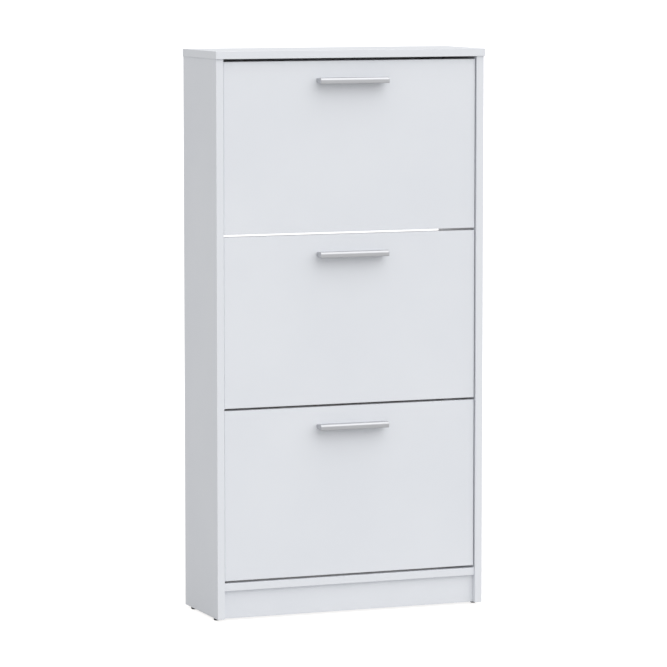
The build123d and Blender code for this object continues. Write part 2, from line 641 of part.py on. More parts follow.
def export(nodes):
    """Writes each node to its own file."""
    os.makedirs("parts", exist_ok=True)
    for name, pieces in nodes.items():
        solids = [solid for piece in pieces for solid in piece.solids()]
        shape = solids[0] if len(solids) == 1 else Compound(solids)
        export_step(shape, os.path.join("parts", f"{name}.step"))


export(cabinet())
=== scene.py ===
"""The looks of a slim shoe cabinet with three tilting flaps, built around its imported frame.

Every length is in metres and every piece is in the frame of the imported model: X to the right, Y to the
wall, Z up, with the origin on the floor under the middle of the cabinet.
"""

import logging
import math
from dataclasses import dataclass, field
from enum import Enum
from typing import Callable, Iterable, Sequence

import bmesh
import bpy
from bpy.types import Material, NodeSocket, Object, ShaderNode
from mathutils import Matrix, Vector

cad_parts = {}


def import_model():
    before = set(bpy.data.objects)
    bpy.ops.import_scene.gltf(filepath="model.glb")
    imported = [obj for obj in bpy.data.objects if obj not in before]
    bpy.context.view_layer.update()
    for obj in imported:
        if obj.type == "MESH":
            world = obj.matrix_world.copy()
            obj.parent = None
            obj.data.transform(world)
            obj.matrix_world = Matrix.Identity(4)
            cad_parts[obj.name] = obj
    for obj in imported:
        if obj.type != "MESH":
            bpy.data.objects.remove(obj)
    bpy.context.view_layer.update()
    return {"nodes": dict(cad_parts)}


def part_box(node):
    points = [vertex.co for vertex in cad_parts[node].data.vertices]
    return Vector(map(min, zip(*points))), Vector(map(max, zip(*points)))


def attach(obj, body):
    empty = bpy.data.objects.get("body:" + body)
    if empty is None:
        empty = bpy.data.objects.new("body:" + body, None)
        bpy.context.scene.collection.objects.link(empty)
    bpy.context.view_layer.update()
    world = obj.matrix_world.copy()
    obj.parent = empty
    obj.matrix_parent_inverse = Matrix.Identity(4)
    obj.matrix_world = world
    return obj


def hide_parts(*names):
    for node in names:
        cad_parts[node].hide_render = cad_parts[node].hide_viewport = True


LOG = logging.getLogger("shoe_cabinet")
MM = 0.001
SAME_LENGTH = 0.001 * MM
WHITE = (1.0, 1.0, 1.0, 1.0)
Colour = tuple[float, float, float]
Profile = Sequence[tuple[float, float]]


class Tier(Enum):
    """The three flaps, from the floor up."""

    LOWER = "lower"
    MIDDLE = "middle"
    UPPER = "upper"

    @property
    def body(self) -> str:
        """The body that the flap's pieces ride on."""
        return f"{self.value}_flap"

    def node(self, piece: str) -> str:
        """The name of one of the flap's nodes."""
        return f"{piece}_{self.value}"


class Axis(Enum):
    """An axis of the frame, by its place in a vector."""

    X = 0
    Y = 1
    Z = 2


class Facing(Enum):
    """The outward direction of a board's edge."""

    REAR = (0, 1, 0)
    UNDER = (0, 0, -1)
    TOP = (0, 0, 1)


# ---------------------------------------------------------------------------------------------------------
# Materials
# ---------------------------------------------------------------------------------------------------------


@dataclass(frozen=True)
class Grain:
    """A fine pattern of a finish, for its colour, its gloss or its relief.

    Attributes:
        scale: Its cells per metre, as one number or for each axis.
        detail: Its finer octaves.
        spread: The two levels of the noise between which it fades in.
        bump: The strength of its relief.
        depth: The depth of its relief.
    """

    scale: float | tuple[float, float, float]
    detail: float
    spread: tuple[float, float] = (0.3, 0.7)
    bump: float = 0.0
    depth: float = 0.0


class ShaderSheet:
    """A material's node tree, with one short call for each kind of node."""

    COLUMN_WIDTH = 220
    ROW_HEIGHT = 60
    ROWS = 5

    def __init__(self, name: str) -> None:
        """Starts a material.

        Args:
            name: The material's name.
        """
        self.material: Material = bpy.data.materials.new(name)
        self.material.use_nodes = True
        self.nodes = self.material.node_tree.nodes
        self.links = self.material.node_tree.links
        self.shader: ShaderNode = self.nodes["Principled BSDF"]
        self.coordinates: ShaderNode = self.nodes.new("ShaderNodeTexCoord")
        self._column = 0

    def node(self, kind: str, **settings: object) -> ShaderNode:
        """Adds a node.

        Args:
            kind: The node's type name, without its ShaderNode prefix.
            **settings: Properties of the node.

        Returns:
            The new node.
        """
        made = self.nodes.new("ShaderNode" + kind)
        self._column += 1
        made.location = (-self.COLUMN_WIDTH * self._column, -self.ROW_HEIGHT * (self._column % self.ROWS))
        for name, value in settings.items():
            setattr(made, name, value)
        return made

    def feed(self, socket: NodeSocket, value: object) -> None:
        """Links or sets an input.

        Args:
            socket: The input.
            value: A socket to link, or a plain value.
        """
        if isinstance(value, NodeSocket):
            self.links.new(value, socket)
        else:
            socket.default_value = value

    def plain(self, **sockets: object) -> None:
        """Sets or links inputs of the main shader by name, with underscores for spaces."""
        for name, value in sockets.items():
            self.feed(self.shader.inputs[name.replace("_", " ")], value)

    def maths(self, operation: str, first: object, second: object = 0.0, third: object = 0.0) -> NodeSocket:
        """A number worked out from up to three others.

        Args:
            operation: The math node's operation.
            first: The first input.
            second: The second input.
            third: The third input.

        Returns:
            The result's socket.
        """
        made = self.node("Math", operation=operation)
        for socket, value in zip(made.inputs, (first, second, third)):
            self.feed(socket, value)
        return made.outputs[0]

    def mixed(self, first: NodeSocket, second: NodeSocket, share: float) -> NodeSocket:
        """Two numbers mixed into one, with a share of the second."""
        rest = self.maths("MULTIPLY", first, 1.0 - share)
        return self.maths("ADD", rest, self.maths("MULTIPLY", second, share))

    def parts(self, vector: NodeSocket) -> list[NodeSocket]:
        """Takes a vector apart.

        Args:
            vector: The vector.

        Returns:
            Its three numbers.
        """
        split = self.node("SeparateXYZ")
        self.feed(split.inputs[0], vector)
        return list(split.outputs)

    def stretched(self, scale: Sequence[float], centre: Vector | None = None) -> NodeSocket:
        """Object coordinates moved to a centre and stretched.

        Args:
            scale: The factor along each axis.
            centre: The point that becomes the origin.

        Returns:
            The mapped coordinates.
        """
        mapping = self.node("Mapping")
        self.feed(mapping.inputs["Vector"], self.coordinates.outputs["Object"])
        mapping.inputs["Scale"].default_value = scale
        if centre is not None:
            mapping.inputs["Location"].default_value = [-c * s for c, s in zip(centre, scale)]
        return mapping.outputs[0]

    def noise(self, grain: Grain) -> NodeSocket:
        """A grain's noise on Object coordinates.

        Args:
            grain: The grain.

        Returns:
            The noise, around 0.5.
        """
        made = self.node("TexNoise")
        even = isinstance(grain.scale, float)
        place = self.coordinates.outputs["Object"] if even else self.stretched(grain.scale)
        self.feed(made.inputs["Vector"], place)
        made.inputs["Scale"].default_value = grain.scale if even else 1.0
        made.inputs["Detail"].default_value = grain.detail
        return made.outputs["Fac"]

    def blend(self, share: object, low: object, high: object) -> NodeSocket:
        """A colour between two colours.

        Args:
            share: How much of the second there is.
            low: The colour at 0.
            high: The colour at 1.

        Returns:
            The mixed colour.
        """
        mix = self.node("Mix", data_type="RGBA")
        self.feed(mix.inputs[0], share)
        for socket, colour in ((mix.inputs[6], low), (mix.inputs[7], high)):
            self.feed(socket, colour if isinstance(colour, NodeSocket) else (*colour, 1.0))
        return mix.outputs[2]

    def between(
        self, value: object, low: float, high: float, start: object = 0.0, end: object = 1.0
    ) -> NodeSocket:
        """A number mapped from one range to another, without running past its ends.

        Args:
            value: The number.
            low: What gives the start.
            high: What gives the end.
            start: The result at low.
            end: The result at high.

        Returns:
            The mapped number.
        """
        made = self.node("MapRange", clamp=True)
        for socket, number in zip(made.inputs, (value, low, high, start, end)):
            self.feed(socket, number)
        return made.outputs[0]

    def relief(self, *layers: tuple[NodeSocket, Grain]) -> None:
        """Bumps on the surface.

        Args:
            *layers: For each layer its height, and the grain that says how strong and deep it is.
        """
        below = None
        for height, grain in layers:
            bump = self.node("Bump")
            self.feed(bump.inputs["Height"], height)
            bump.inputs["Strength"].default_value = grain.bump
            bump.inputs["Distance"].default_value = grain.depth
            if below is not None:
                self.links.new(below, bump.inputs["Normal"])
            below = bump.outputs[0]
        self.links.new(below, self.shader.inputs["Normal"])

    def facing(self, direction: Sequence[float], least: float) -> NodeSocket:
        """1 where the surface faces a direction of the piece, and 0 elsewhere.

        Args:
            direction: The direction, as a unit vector.
            least: The cosine from which the surface counts as facing it.

        Returns:
            The mask.
        """
        dot = self.node("VectorMath", operation="DOT_PRODUCT")
        self.feed(dot.inputs[0], self.coordinates.outputs["Normal"])
        dot.inputs[1].default_value = direction
        return self.maths("GREATER_THAN", dot.outputs["Value"], least)


@dataclass(frozen=True)
class BoardShape:
    """A board's place, for finishes that follow its faces and edges."""

    low: Vector
    high: Vector

    @classmethod
    def of(cls, node: str) -> "BoardShape":
        """The shape of a CAD node."""
        return cls(*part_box(node))

    @property
    def middle(self) -> Vector:
        """The board's middle."""
        return (self.low + self.high) / 2

    @property
    def half(self) -> Vector:
        """Half the board's size."""
        return (self.high - self.low) / 2

    @property
    def thin(self) -> Axis:
        """The axis across the board's thickness."""
        sizes = list(self.half)
        return Axis(sizes.index(min(sizes)))


@dataclass(frozen=True)
class MelamineFinish:
    """Smooth white melamine faces with banded edges over particle board.

    The faces have the faint pearl of pressed melamine paper. The edge bands have one even tone, and meet the
    faces in a hairline seam. Edges that are not banded show pressed wood chips.
    """

    tone: Colour = (0.778, 0.800, 0.842)
    tone_variation: Colour = (0.796, 0.817, 0.856)
    band_tone: Colour = (0.791, 0.812, 0.850)
    band_thickness: float = 0.9 * MM
    seam_tone: Colour = (0.52, 0.53, 0.55)
    seam_width: float = 0.14 * MM
    seam_strength: float = 0.55
    face_cosine: float = 0.9
    edge_cosine: float = 0.93
    drift: Grain = Grain(5.0, 3.0, spread=(0.35, 0.65))
    pearl: Grain = Grain(1700.0, 3.0, bump=0.06, depth=0.05 * MM)
    ripple: Grain = Grain(22.0, 1.0, bump=0.05, depth=0.4 * MM)
    roughness: tuple[float, float] = (0.36, 0.44)
    refraction: float = 1.48
    specular: float = 0.42
    chip_dark: Colour = (0.27, 0.17, 0.09)
    chip_light: Colour = (0.62, 0.47, 0.30)
    chip_scale: float = 420.0
    chip_stretch: tuple[float, float, float] = (1.0, 1.0, 1.6)
    chip_roughness: float = 0.85
    dust: Grain = Grain(2400.0, 2.0)
    dust_share: float = 0.3

    def material(self, name: str, shape: BoardShape, raw: Iterable[Facing] = ()) -> Material:
        """The finish for one board.

        Args:
            name: The board's name.
            shape: The board's place.
            raw: The edges with no band.

        Returns:
            The material.
        """
        sheet = ShaderSheet(f"melamine_{name}")
        face = self._face_mask(sheet, shape)
        drift = sheet.between(sheet.noise(self.drift), *self.drift.spread)
        colour = sheet.blend(drift, self.tone, self.tone_variation)
        colour = sheet.blend(face, self.band_tone, colour)
        seam = sheet.maths("MULTIPLY", self._seam_mask(sheet, shape), face)
        colour = sheet.blend(sheet.maths("MULTIPLY", seam, self.seam_strength), colour, self.seam_tone)
        pearl = sheet.noise(self.pearl)
        roughness = sheet.between(pearl, *self.pearl.spread, *self.roughness)
        bare = self._raw_mask(sheet, raw)
        if bare is not None:
            colour = sheet.blend(bare, colour, self._chips(sheet))
            roughness = sheet.between(bare, 0.0, 1.0, roughness, self.chip_roughness)
        sheet.relief((sheet.noise(self.ripple), self.ripple), (pearl, self.pearl))
        sheet.plain(
            Base_Color=colour, Roughness=roughness, IOR=self.refraction, Specular_IOR_Level=self.specular
        )
        return sheet.material

    def _face_mask(self, sheet: ShaderSheet, shape: BoardShape) -> NodeSocket:
        """1 on the board's two wide faces."""
        normal = sheet.parts(sheet.coordinates.outputs["Normal"])[shape.thin.value]
        return sheet.maths("GREATER_THAN", sheet.maths("ABSOLUTE", normal), self.face_cosine)

    def _seam_mask(self, sheet: ShaderSheet, shape: BoardShape) -> NodeSocket:
        """The hairline between the bands and the faces.

        Args:
            sheet: The material in the making.
            shape: The board's place.

        Returns:
            A mask, 1 on the hairline.
        """
        centred = sheet.parts(sheet.stretched((1.0, 1.0, 1.0), shape.middle))
        nearest: NodeSocket | None = None
        for axis in Axis:
            if axis is shape.thin:
                continue
            away = sheet.maths("ABSOLUTE", centred[axis.value])
            inset = sheet.maths("SUBTRACT", shape.half[axis.value], away)
            nearest = inset if nearest is None else sheet.maths("MINIMUM", nearest, inset)
        return sheet.maths("COMPARE", nearest, self.band_thickness, self.seam_width / 2)

    def _raw_mask(self, sheet: ShaderSheet, raw: Iterable[Facing]) -> NodeSocket | None:
        """The edges with no band.

        Args:
            sheet: The material in the making.
            raw: The directions that those edges face.

        Returns:
            A mask, 1 on those edges, or nothing if every edge has its band.
        """
        mask: NodeSocket | None = None
        for facing in raw:
            towards = sheet.facing(facing.value, self.edge_cosine)
            mask = towards if mask is None else sheet.maths("MAXIMUM", mask, towards)
        return mask

    def _chips(self, sheet: ShaderSheet) -> NodeSocket:
        """Pressed wood chips and dust.

        Args:
            sheet: The material in the making.

        Returns:
            Their colour.
        """
        chips = sheet.node("TexVoronoi", feature="F1")
        sheet.feed(chips.inputs["Vector"], sheet.stretched(self.chip_stretch))
        chips.inputs["Scale"].default_value = self.chip_scale
        shade = sheet.parts(chips.outputs["Color"])[0]
        mixed = sheet.mixed(shade, sheet.noise(self.dust), self.dust_share)
        return sheet.blend(mixed, self.chip_dark, self.chip_light)


@dataclass(frozen=True)
class FibreboardFinish:
    """Thin fibreboard, lacquered white towards the shoes and bare brown behind."""

    lacquer: Colour = (0.79, 0.795, 0.80)
    lacquer_variation: Colour = (0.775, 0.78, 0.79)
    lacquer_roughness: float = 0.4
    lacquer_cosine: float = 0.8
    fibre_dark: Colour = (0.26, 0.165, 0.095)
    fibre_light: Colour = (0.40, 0.275, 0.17)
    fibre_roughness: float = 0.78
    fibre_spread: tuple[float, float] = (0.35, 0.65)
    strands: Grain = Grain((180.0, 900.0, 900.0), 4.0, bump=0.10, depth=0.08 * MM)
    patches: Grain = Grain(60.0, 3.0, spread=(0.4, 0.6))
    patch_share: float = 0.4

    def material(self, name: str, white_side: Vector) -> Material:
        """The finish for one board.

        Args:
            name: The board's name.
            white_side: The direction that the lacquered face looks in.

        Returns:
            The material.
        """
        sheet = ShaderSheet(f"fibreboard_{name}")
        white = sheet.facing(white_side, self.lacquer_cosine)
        strands = sheet.noise(self.strands)
        patches = sheet.noise(self.patches)
        fibre = sheet.between(sheet.mixed(strands, patches, self.patch_share), *self.fibre_spread)
        brown = sheet.blend(fibre, self.fibre_dark, self.fibre_light)
        clouding = sheet.between(patches, *self.patches.spread)
        colour = sheet.blend(white, brown, sheet.blend(clouding, self.lacquer, self.lacquer_variation))
        roughness = sheet.between(white, 0.0, 1.0, self.fibre_roughness, self.lacquer_roughness)
        sheet.relief((strands, self.strands))
        sheet.plain(Base_Color=colour, Roughness=roughness)
        return sheet.material


@dataclass(frozen=True)
class SatinMetalFinish:
    """Satin aluminium, ground along the grip, with a clear sheen."""

    name: str = "satin_aluminium"
    tone: Colour = (0.555, 0.562, 0.582)
    tone_variation: Colour = (0.585, 0.592, 0.610)
    scratches: Grain = Grain((30.0, 5200.0, 5200.0), 3.0, bump=0.10, depth=0.02 * MM)
    roughness: tuple[float, float] = (0.38, 0.46)
    roughness_spread: tuple[float, float] = (0.25, 0.75)

    def material(self) -> Material:
        """Makes the shared material.

        Returns:
            The material.
        """
        sheet = ShaderSheet(self.name)
        scratches = sheet.noise(self.scratches)
        shade = sheet.between(scratches, *self.scratches.spread)
        colour = sheet.blend(shade, self.tone, self.tone_variation)
        roughness = sheet.between(scratches, *self.roughness_spread, *self.roughness)
        sheet.relief((scratches, self.scratches))
        sheet.plain(Base_Color=colour, Roughness=roughness, Metallic=1.0)
        return sheet.material


@dataclass(frozen=True)
class ZincFinish:
    """Zinc-plated steel with the faint cloudy tints of passivation."""

    name: str = "zinc_plate"
    tone: Colour = (0.60, 0.615, 0.64)
    cloud_tone: Colour = (0.68, 0.66, 0.58)
    cloud_strength: float = 0.7
    clouds: Grain = Grain(380.0, 3.0, spread=(0.45, 0.75))
    crystals: Grain = Grain(3200.0, 2.0, bump=0.12, depth=0.03 * MM)
    roughness: tuple[float, float] = (0.28, 0.42)
    roughness_spread: tuple[float, float] = (0.3, 0.7)

    def material(self) -> Material:
        """Makes the shared material.

        Returns:
            The material.
        """
        sheet = ShaderSheet(self.name)
        clouds = sheet.noise(self.clouds)
        shade = sheet.between(clouds, *self.clouds.spread, 0.0, self.cloud_strength)
        roughness = sheet.between(clouds, *self.roughness_spread, *self.roughness)
        sheet.relief((sheet.noise(self.crystals), self.crystals))
        colour = sheet.blend(shade, self.tone, self.cloud_tone)
        sheet.plain(Base_Color=colour, Roughness=roughness, Metallic=1.0)
        return sheet.material


@dataclass(frozen=True)
class PlasticFinish:
    """Moulded plastic with a fine eroded texture and soft flow marks."""

    name: str
    tone: Colour
    tone_variation: Colour
    roughness: tuple[float, float] = (0.40, 0.52)
    refraction: float = 1.5
    texture: Grain = Grain(2100.0, 3.0, bump=0.16, depth=0.06 * MM)
    flow: Grain = Grain(26.0, 3.0, spread=(0.35, 0.65), bump=0.04, depth=0.3 * MM)

    def material(self) -> Material:
        """Makes the shared material.

        Returns:
            The material.
        """
        sheet = ShaderSheet(self.name)
        texture = sheet.noise(self.texture)
        flow = sheet.noise(self.flow)
        colour = sheet.blend(sheet.between(flow, *self.flow.spread), self.tone, self.tone_variation)
        roughness = sheet.between(texture, *self.texture.spread, *self.roughness)
        sheet.relief((flow, self.flow), (texture, self.texture))
        sheet.plain(Base_Color=colour, Roughness=roughness, IOR=self.refraction)
        return sheet.material


@dataclass(frozen=True)
class BeechFinish:
    """Bare beech with short dark rays along the grain."""

    name: str = "beech"
    tone: Colour = (0.56, 0.38, 0.21)
    ray_tone: Colour = (0.42, 0.25, 0.13)
    rays: Grain = Grain((2200.0, 2200.0, 260.0), 4.0, spread=(0.5, 0.7), bump=0.2, depth=0.05 * MM)
    roughness: float = 0.6

    def material(self) -> Material:
        """Makes the shared material.

        Returns:
            The material.
        """
        sheet = ShaderSheet(self.name)
        rays = sheet.noise(self.rays)
        colour = sheet.blend(sheet.between(rays, *self.rays.spread), self.tone, self.ray_tone)
        sheet.relief((rays, self.rays))
        sheet.plain(Base_Color=colour, Roughness=self.roughness)
        return sheet.material


WHITE_PLASTIC = PlasticFinish("white_plastic", (0.74, 0.745, 0.74), (0.765, 0.77, 0.765))
BLACK_PLASTIC = PlasticFinish(
    "black_plastic", (0.012, 0.012, 0.013), (0.02, 0.02, 0.021), roughness=(0.42, 0.55)
)


class Finishes:
    """Every finish of the cabinet, with the shared materials made once."""

    def __init__(self) -> None:
        """Makes the shared materials."""
        self.melamine = MelamineFinish()
        self.fibreboard = FibreboardFinish()
        self.satin_metal = SatinMetalFinish().material()
        self.zinc = ZincFinish().material()
        self.beech = BeechFinish().material()
        self.white_plastic = WHITE_PLASTIC.material()
        self.black_plastic = BLACK_PLASTIC.material()


def near(first: float, second: float) -> bool:
    """Whether two lengths are the same, within a thousandth of a millimetre."""
    return abs(first - second) < SAME_LENGTH


def dress(piece: Object, material: Material) -> None:
    """Gives a piece one material."""
    piece.data.materials.clear()
    piece.data.materials.append(material)


def dress_node(nodes: dict[str, Object], node: str, material: Material) -> None:
    """Gives a CAD node that keeps its own shape a material, and reports it."""
    dress(nodes[node], material)
    LOG.info("%s keeps its shape and gets %s", node, material.name)


# ---------------------------------------------------------------------------------------------------------
# Mesh making
# ---------------------------------------------------------------------------------------------------------


class Workbench:
    """Short calls to start, shape and finish meshes."""

    SMOOTH_BELOW = math.radians(32)
    SAME_POINT = 1e-7
    JOINED_POINT = 0.01 * MM
    SLIVER = 0.005 * MM

    @staticmethod
    def box(bm: bmesh.types.BMesh, low: Vector, high: Vector) -> None:
        """Adds a box between two corners.

        Args:
            bm: The mesh that gets it.
            low: The lowest corner.
            high: The highest corner.
        """
        made = bmesh.ops.create_cube(bm, size=1.0)["verts"]
        bmesh.ops.scale(bm, vec=high - low, verts=made)
        bmesh.ops.translate(bm, vec=(low + high) / 2, verts=made)

    @staticmethod
    def round_edges(
        bm: bmesh.types.BMesh, picked: Callable[[bmesh.types.BMEdge], bool], radius: float, strips: int
    ) -> None:
        """Rounds the edges that a test picks.

        Args:
            bm: The mesh.
            picked: The test.
            radius: The rounding's radius.
            strips: The strips in the rounding.
        """
        edges = [edge for edge in bm.edges if picked(edge)]
        bmesh.ops.bevel(
            bm, geom=edges, offset=radius, offset_type="OFFSET", segments=strips, profile=0.5,
            affect="EDGES", material=-1, clamp_overlap=True,
        )

    @classmethod
    def lathe(cls, bm: bmesh.types.BMesh, profile: Profile, steps: int) -> None:
        """Spins an outline of radius and height round the Z axis into a closed solid.

        Args:
            bm: The mesh that gets it.
            profile: The outline, from the axis to the axis.
            steps: The facets all round.
        """
        before = set(bm.verts)
        corners = [bm.verts.new((radius, 0.0, height)) for radius, height in profile]
        edges = [bm.edges.new(pair) for pair in zip(corners, corners[1:])]
        bmesh.ops.spin(
            bm, geom=corners + edges, cent=(0, 0, 0), axis=(0, 0, 1), angle=math.tau, steps=steps,
            use_merge=True,
        )
        made = [vert for vert in bm.verts if vert not in before]
        bmesh.ops.remove_doubles(bm, verts=made, dist=cls.SAME_POINT)
        bmesh.ops.recalc_face_normals(bm, faces=bm.faces)

    @classmethod
    def piece(cls, name: str, bm: bmesh.types.BMesh, material: Material) -> Object:
        """Turns a mesh into a dressed piece at the origin, smooth except over its creases.

        Args:
            name: The piece's name.
            bm: The mesh, in the frame of the model. It is freed.
            material: The piece's material.

        Returns:
            The new object.
        """
        cls.shade(bm)
        mesh = bpy.data.meshes.new(name)
        bm.to_mesh(mesh)
        bm.free()
        made = bpy.data.objects.new(name, mesh)
        bpy.context.scene.collection.objects.link(made)
        dress(made, material)
        return made

    @classmethod
    def settle(cls, piece: Object) -> None:
        """Cleans a joined mesh and shades it smooth between its creases, with its flats kept flat.

        Args:
            piece: The piece.
        """
        bm = bmesh.new()
        bm.from_mesh(piece.data)
        bmesh.ops.remove_doubles(bm, verts=bm.verts, dist=cls.JOINED_POINT)
        bmesh.ops.dissolve_degenerate(bm, edges=bm.edges, dist=cls.SLIVER)
        bmesh.ops.recalc_face_normals(bm, faces=bm.faces)
        cls.shade(bm)
        bm.to_mesh(piece.data)
        bm.free()
        evened = piece.modifiers.new("even_shading", "WEIGHTED_NORMAL")
        evened.keep_sharp = True

    @classmethod
    def shade(cls, bm: bmesh.types.BMesh) -> None:
        """Shades a mesh smooth except over its creases.

        Args:
            bm: The mesh.
        """
        for edge in bm.edges:
            edge.smooth = len(edge.link_faces) == 2 and edge.calc_face_angle(math.pi) < cls.SMOOTH_BELOW
        for face in bm.faces:
            face.smooth = True

    @staticmethod
    def joined(target: Object, other: Object, operation: str) -> None:
        """Joins or cuts a piece with another by an exact boolean, and removes the other.

        Args:
            target: The piece that stays.
            other: The piece to join or cut with.
            operation: UNION or DIFFERENCE.
        """
        modifier = target.modifiers.new("join", "BOOLEAN")
        modifier.operation = operation
        modifier.solver = "EXACT"
        modifier.object = other
        depsgraph = bpy.context.evaluated_depsgraph_get()
        result = bpy.data.meshes.new_from_object(target.evaluated_get(depsgraph))
        target.modifiers.clear()
        target.data = result
        bpy.data.objects.remove(other)


def stand_for(piece: Object, body: str, slot: str, *nodes: str) -> None:
    """Lets a piece ride on a body in place of CAD nodes.

    Args:
        piece: The piece.
        body: The body it moves with.
        slot: Not used.
        *nodes: The nodes it replaces.
    """
    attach(piece, body)
    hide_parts(*nodes)
    LOG.info("%s rides on %s and stands for %s", piece.name, body, ", ".join(nodes))


# ---------------------------------------------------------------------------------------------------------
# Sub-assemblies
# ---------------------------------------------------------------------------------------------------------


@dataclass
class GripHandle:
    """A moulded grip: a closed top, front and ends round a finger recess that opens downwards."""

    tier: Tier
    front_height: float = 13.6 * MM
    foot_height: float = 9.0 * MM
    brow_rounding: float = 6.5 * MM
    brow_strips: int = 12
    chin_rounding: float = 1.5 * MM
    end_rounding: float = 1.2 * MM
    corner_strips: int = 4
    lip: float = 3.5 * MM
    wall: float = 3.0 * MM
    recess_rounding: float = 2.0 * MM
    recess_strips: int = 5
    boss_radius: float = 4.0 * MM
    boss_spacing: float = 128.0 * MM
    boss_reach: float = 0.75
    screw_hole_radius: float = 2.05 * MM
    screw_hole_depth: float = 12.5 * MM
    facets: int = 32

    def build(self, finishes: Finishes) -> None:
        """Makes the grip in its place.

        Args:
            finishes: The cabinet's finishes.
        """
        node = self.tier.node("handle")
        low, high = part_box(node)
        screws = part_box(self.tier.node("handle_screws"))
        middle = (screws[0].z + screws[1].z) / 2
        metal = finishes.satin_metal
        grip = self._shell(low, high, middle, metal)
        Workbench.joined(grip, self._recess(low, high, middle, metal), "DIFFERENCE")
        boss_span = (high.y - self.wall / 2, low.y + self.lip * self.boss_reach)
        hole_span = (high.y + self.wall, high.y - self.screw_hole_depth)
        for side in (-1, 1):
            centre = (side * self.boss_spacing / 2, middle)
            boss = self._rod("boss", centre, boss_span, self.boss_radius, metal)
            Workbench.joined(grip, boss, "UNION")
            hole = self._rod("screw_hole", centre, hole_span, self.screw_hole_radius, metal)
            Workbench.joined(grip, hole, "DIFFERENCE")
        Workbench.settle(grip)
        dress(grip, metal)
        stand_for(grip, self.tier.body, "handle_metal", node)

    def _shell(self, low: Vector, high: Vector, middle: float, material: Material) -> Object:
        """The outer shape: tallest at the front, with a well rounded brow.

        Args:
            low: The lowest corner of the grip's place.
            high: The highest corner of the grip's place.
            middle: The height of the grip's middle.
            material: The grip's material.

        Returns:
            The shell, still solid.
        """
        half, foot = self.front_height / 2, self.foot_height / 2
        section = ((low.y, half), (high.y, foot), (high.y, -foot), (low.y, -half))
        bm = bmesh.new()
        end = bm.faces.new([bm.verts.new((low.x, y, middle + z)) for y, z in section])
        grown = bmesh.ops.extrude_face_region(bm, geom=[end])["geom"]
        moved = [part for part in grown if isinstance(part, bmesh.types.BMVert)]
        bmesh.ops.translate(bm, vec=(high.x - low.x, 0, 0), verts=moved)
        bmesh.ops.recalc_face_normals(bm, faces=bm.faces)

        def along_front(edge: bmesh.types.BMEdge, upper: bool) -> bool:
            """Whether an edge runs along the front, at its top or at its bottom."""
            at_front = all(near(vert.co.y, low.y) and (vert.co.z > middle) == upper for vert in edge.verts)
            return at_front and not near(edge.verts[0].co.x, edge.verts[1].co.x)

        def round_end(edge: bmesh.types.BMEdge) -> bool:
            """Whether an edge goes round an end, except where the grip meets the flap."""
            at_end = any(all(near(vert.co.x, x) for vert in edge.verts) for x in (low.x, high.x))
            return at_end and not all(near(vert.co.y, high.y) for vert in edge.verts)

        Workbench.round_edges(bm, lambda edge: along_front(edge, True), self.brow_rounding, self.brow_strips)
        Workbench.round_edges(
            bm, lambda edge: along_front(edge, False), self.chin_rounding, self.corner_strips
        )
        Workbench.round_edges(bm, round_end, self.end_rounding, self.corner_strips)
        return Workbench.piece(f"grip_handle_{self.tier.value}", bm, material)

    def _recess(self, low: Vector, high: Vector, middle: float, material: Material) -> Object:
        """The cutter of the finger recess, open below.

        Args:
            low: The lowest corner of the grip's place.
            high: The highest corner of the grip's place.
            middle: The height of the grip's middle.
            material: The grip's material.

        Returns:
            The cutter.
        """
        roof = middle + self.foot_height / 2 - self.wall
        bm = bmesh.new()
        corner = Vector((low.x + self.wall, low.y + self.lip, middle - self.front_height))
        Workbench.box(bm, corner, Vector((high.x - self.wall, high.y - self.wall, roof)))
        upright = [edge for edge in bm.edges if not near(edge.verts[0].co.z, edge.verts[1].co.z)]
        Workbench.round_edges(bm, lambda edge: edge in upright, self.recess_rounding, self.recess_strips)
        return Workbench.piece("recess", bm, material)

    def _rod(
        self, name: str, centre: tuple[float, float], span: tuple[float, float], radius: float,
        material: Material,
    ) -> Object:
        """A rod along Y, for a screw boss or a screw hole.

        Args:
            name: The rod's name.
            centre: Its X and Z.
            span: Its Y at the flap's side and at the front.
            radius: Its radius.
            material: Its material.

        Returns:
            The rod.
        """
        bm = bmesh.new()
        bmesh.ops.create_cone(
            bm, cap_ends=True, segments=self.facets, radius1=radius, radius2=radius, depth=span[0] - span[1]
        )
        bmesh.ops.rotate(bm, cent=(0, 0, 0), matrix=Matrix.Rotation(math.pi / 2, 3, "X"), verts=bm.verts)
        bmesh.ops.translate(bm, vec=(centre[0], sum(span) / 2, centre[1]), verts=bm.verts)
        return Workbench.piece(name, bm, material)


